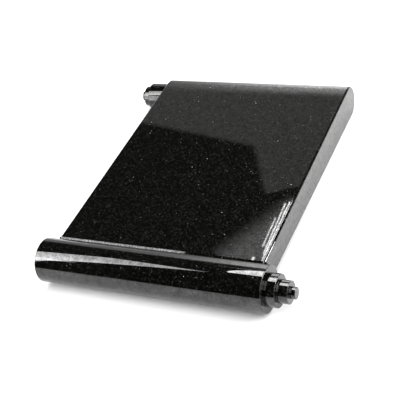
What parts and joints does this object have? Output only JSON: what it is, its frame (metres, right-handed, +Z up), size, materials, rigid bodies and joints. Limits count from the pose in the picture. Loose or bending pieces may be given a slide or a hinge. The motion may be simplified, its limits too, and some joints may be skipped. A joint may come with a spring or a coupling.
{
  "type": "scroll memorial",
  "caption": "Memorial tablet shaped as a partly unrolled scroll, with a rolled front edge, a rounded back edge and turned knobs at opposite corners, lying flat on a grave or ledge.",
  "frame": {"origin": "middle of the underside of the whole piece's bounding box, on the surface it lies on", "axes": "+Z up, +Y from the front roll towards the rounded back edge, +X to the right as seen from the roll"},
  "size_m": [0.3552, 0.4, 0.054],
  "materials": {
    "granite_tablet": "black granite with fine pale specks, ground flat and mirror polished",
    "granite_turned": "black granite with fine pale specks, turned and mirror polished"
  },
  "bodies": {
    "root": {"tablet": "granite_tablet", "front_roll": "granite_turned", "front_finial": "granite_turned", "rear_finial": "granite_turned"}
  },
  "joints": []
}
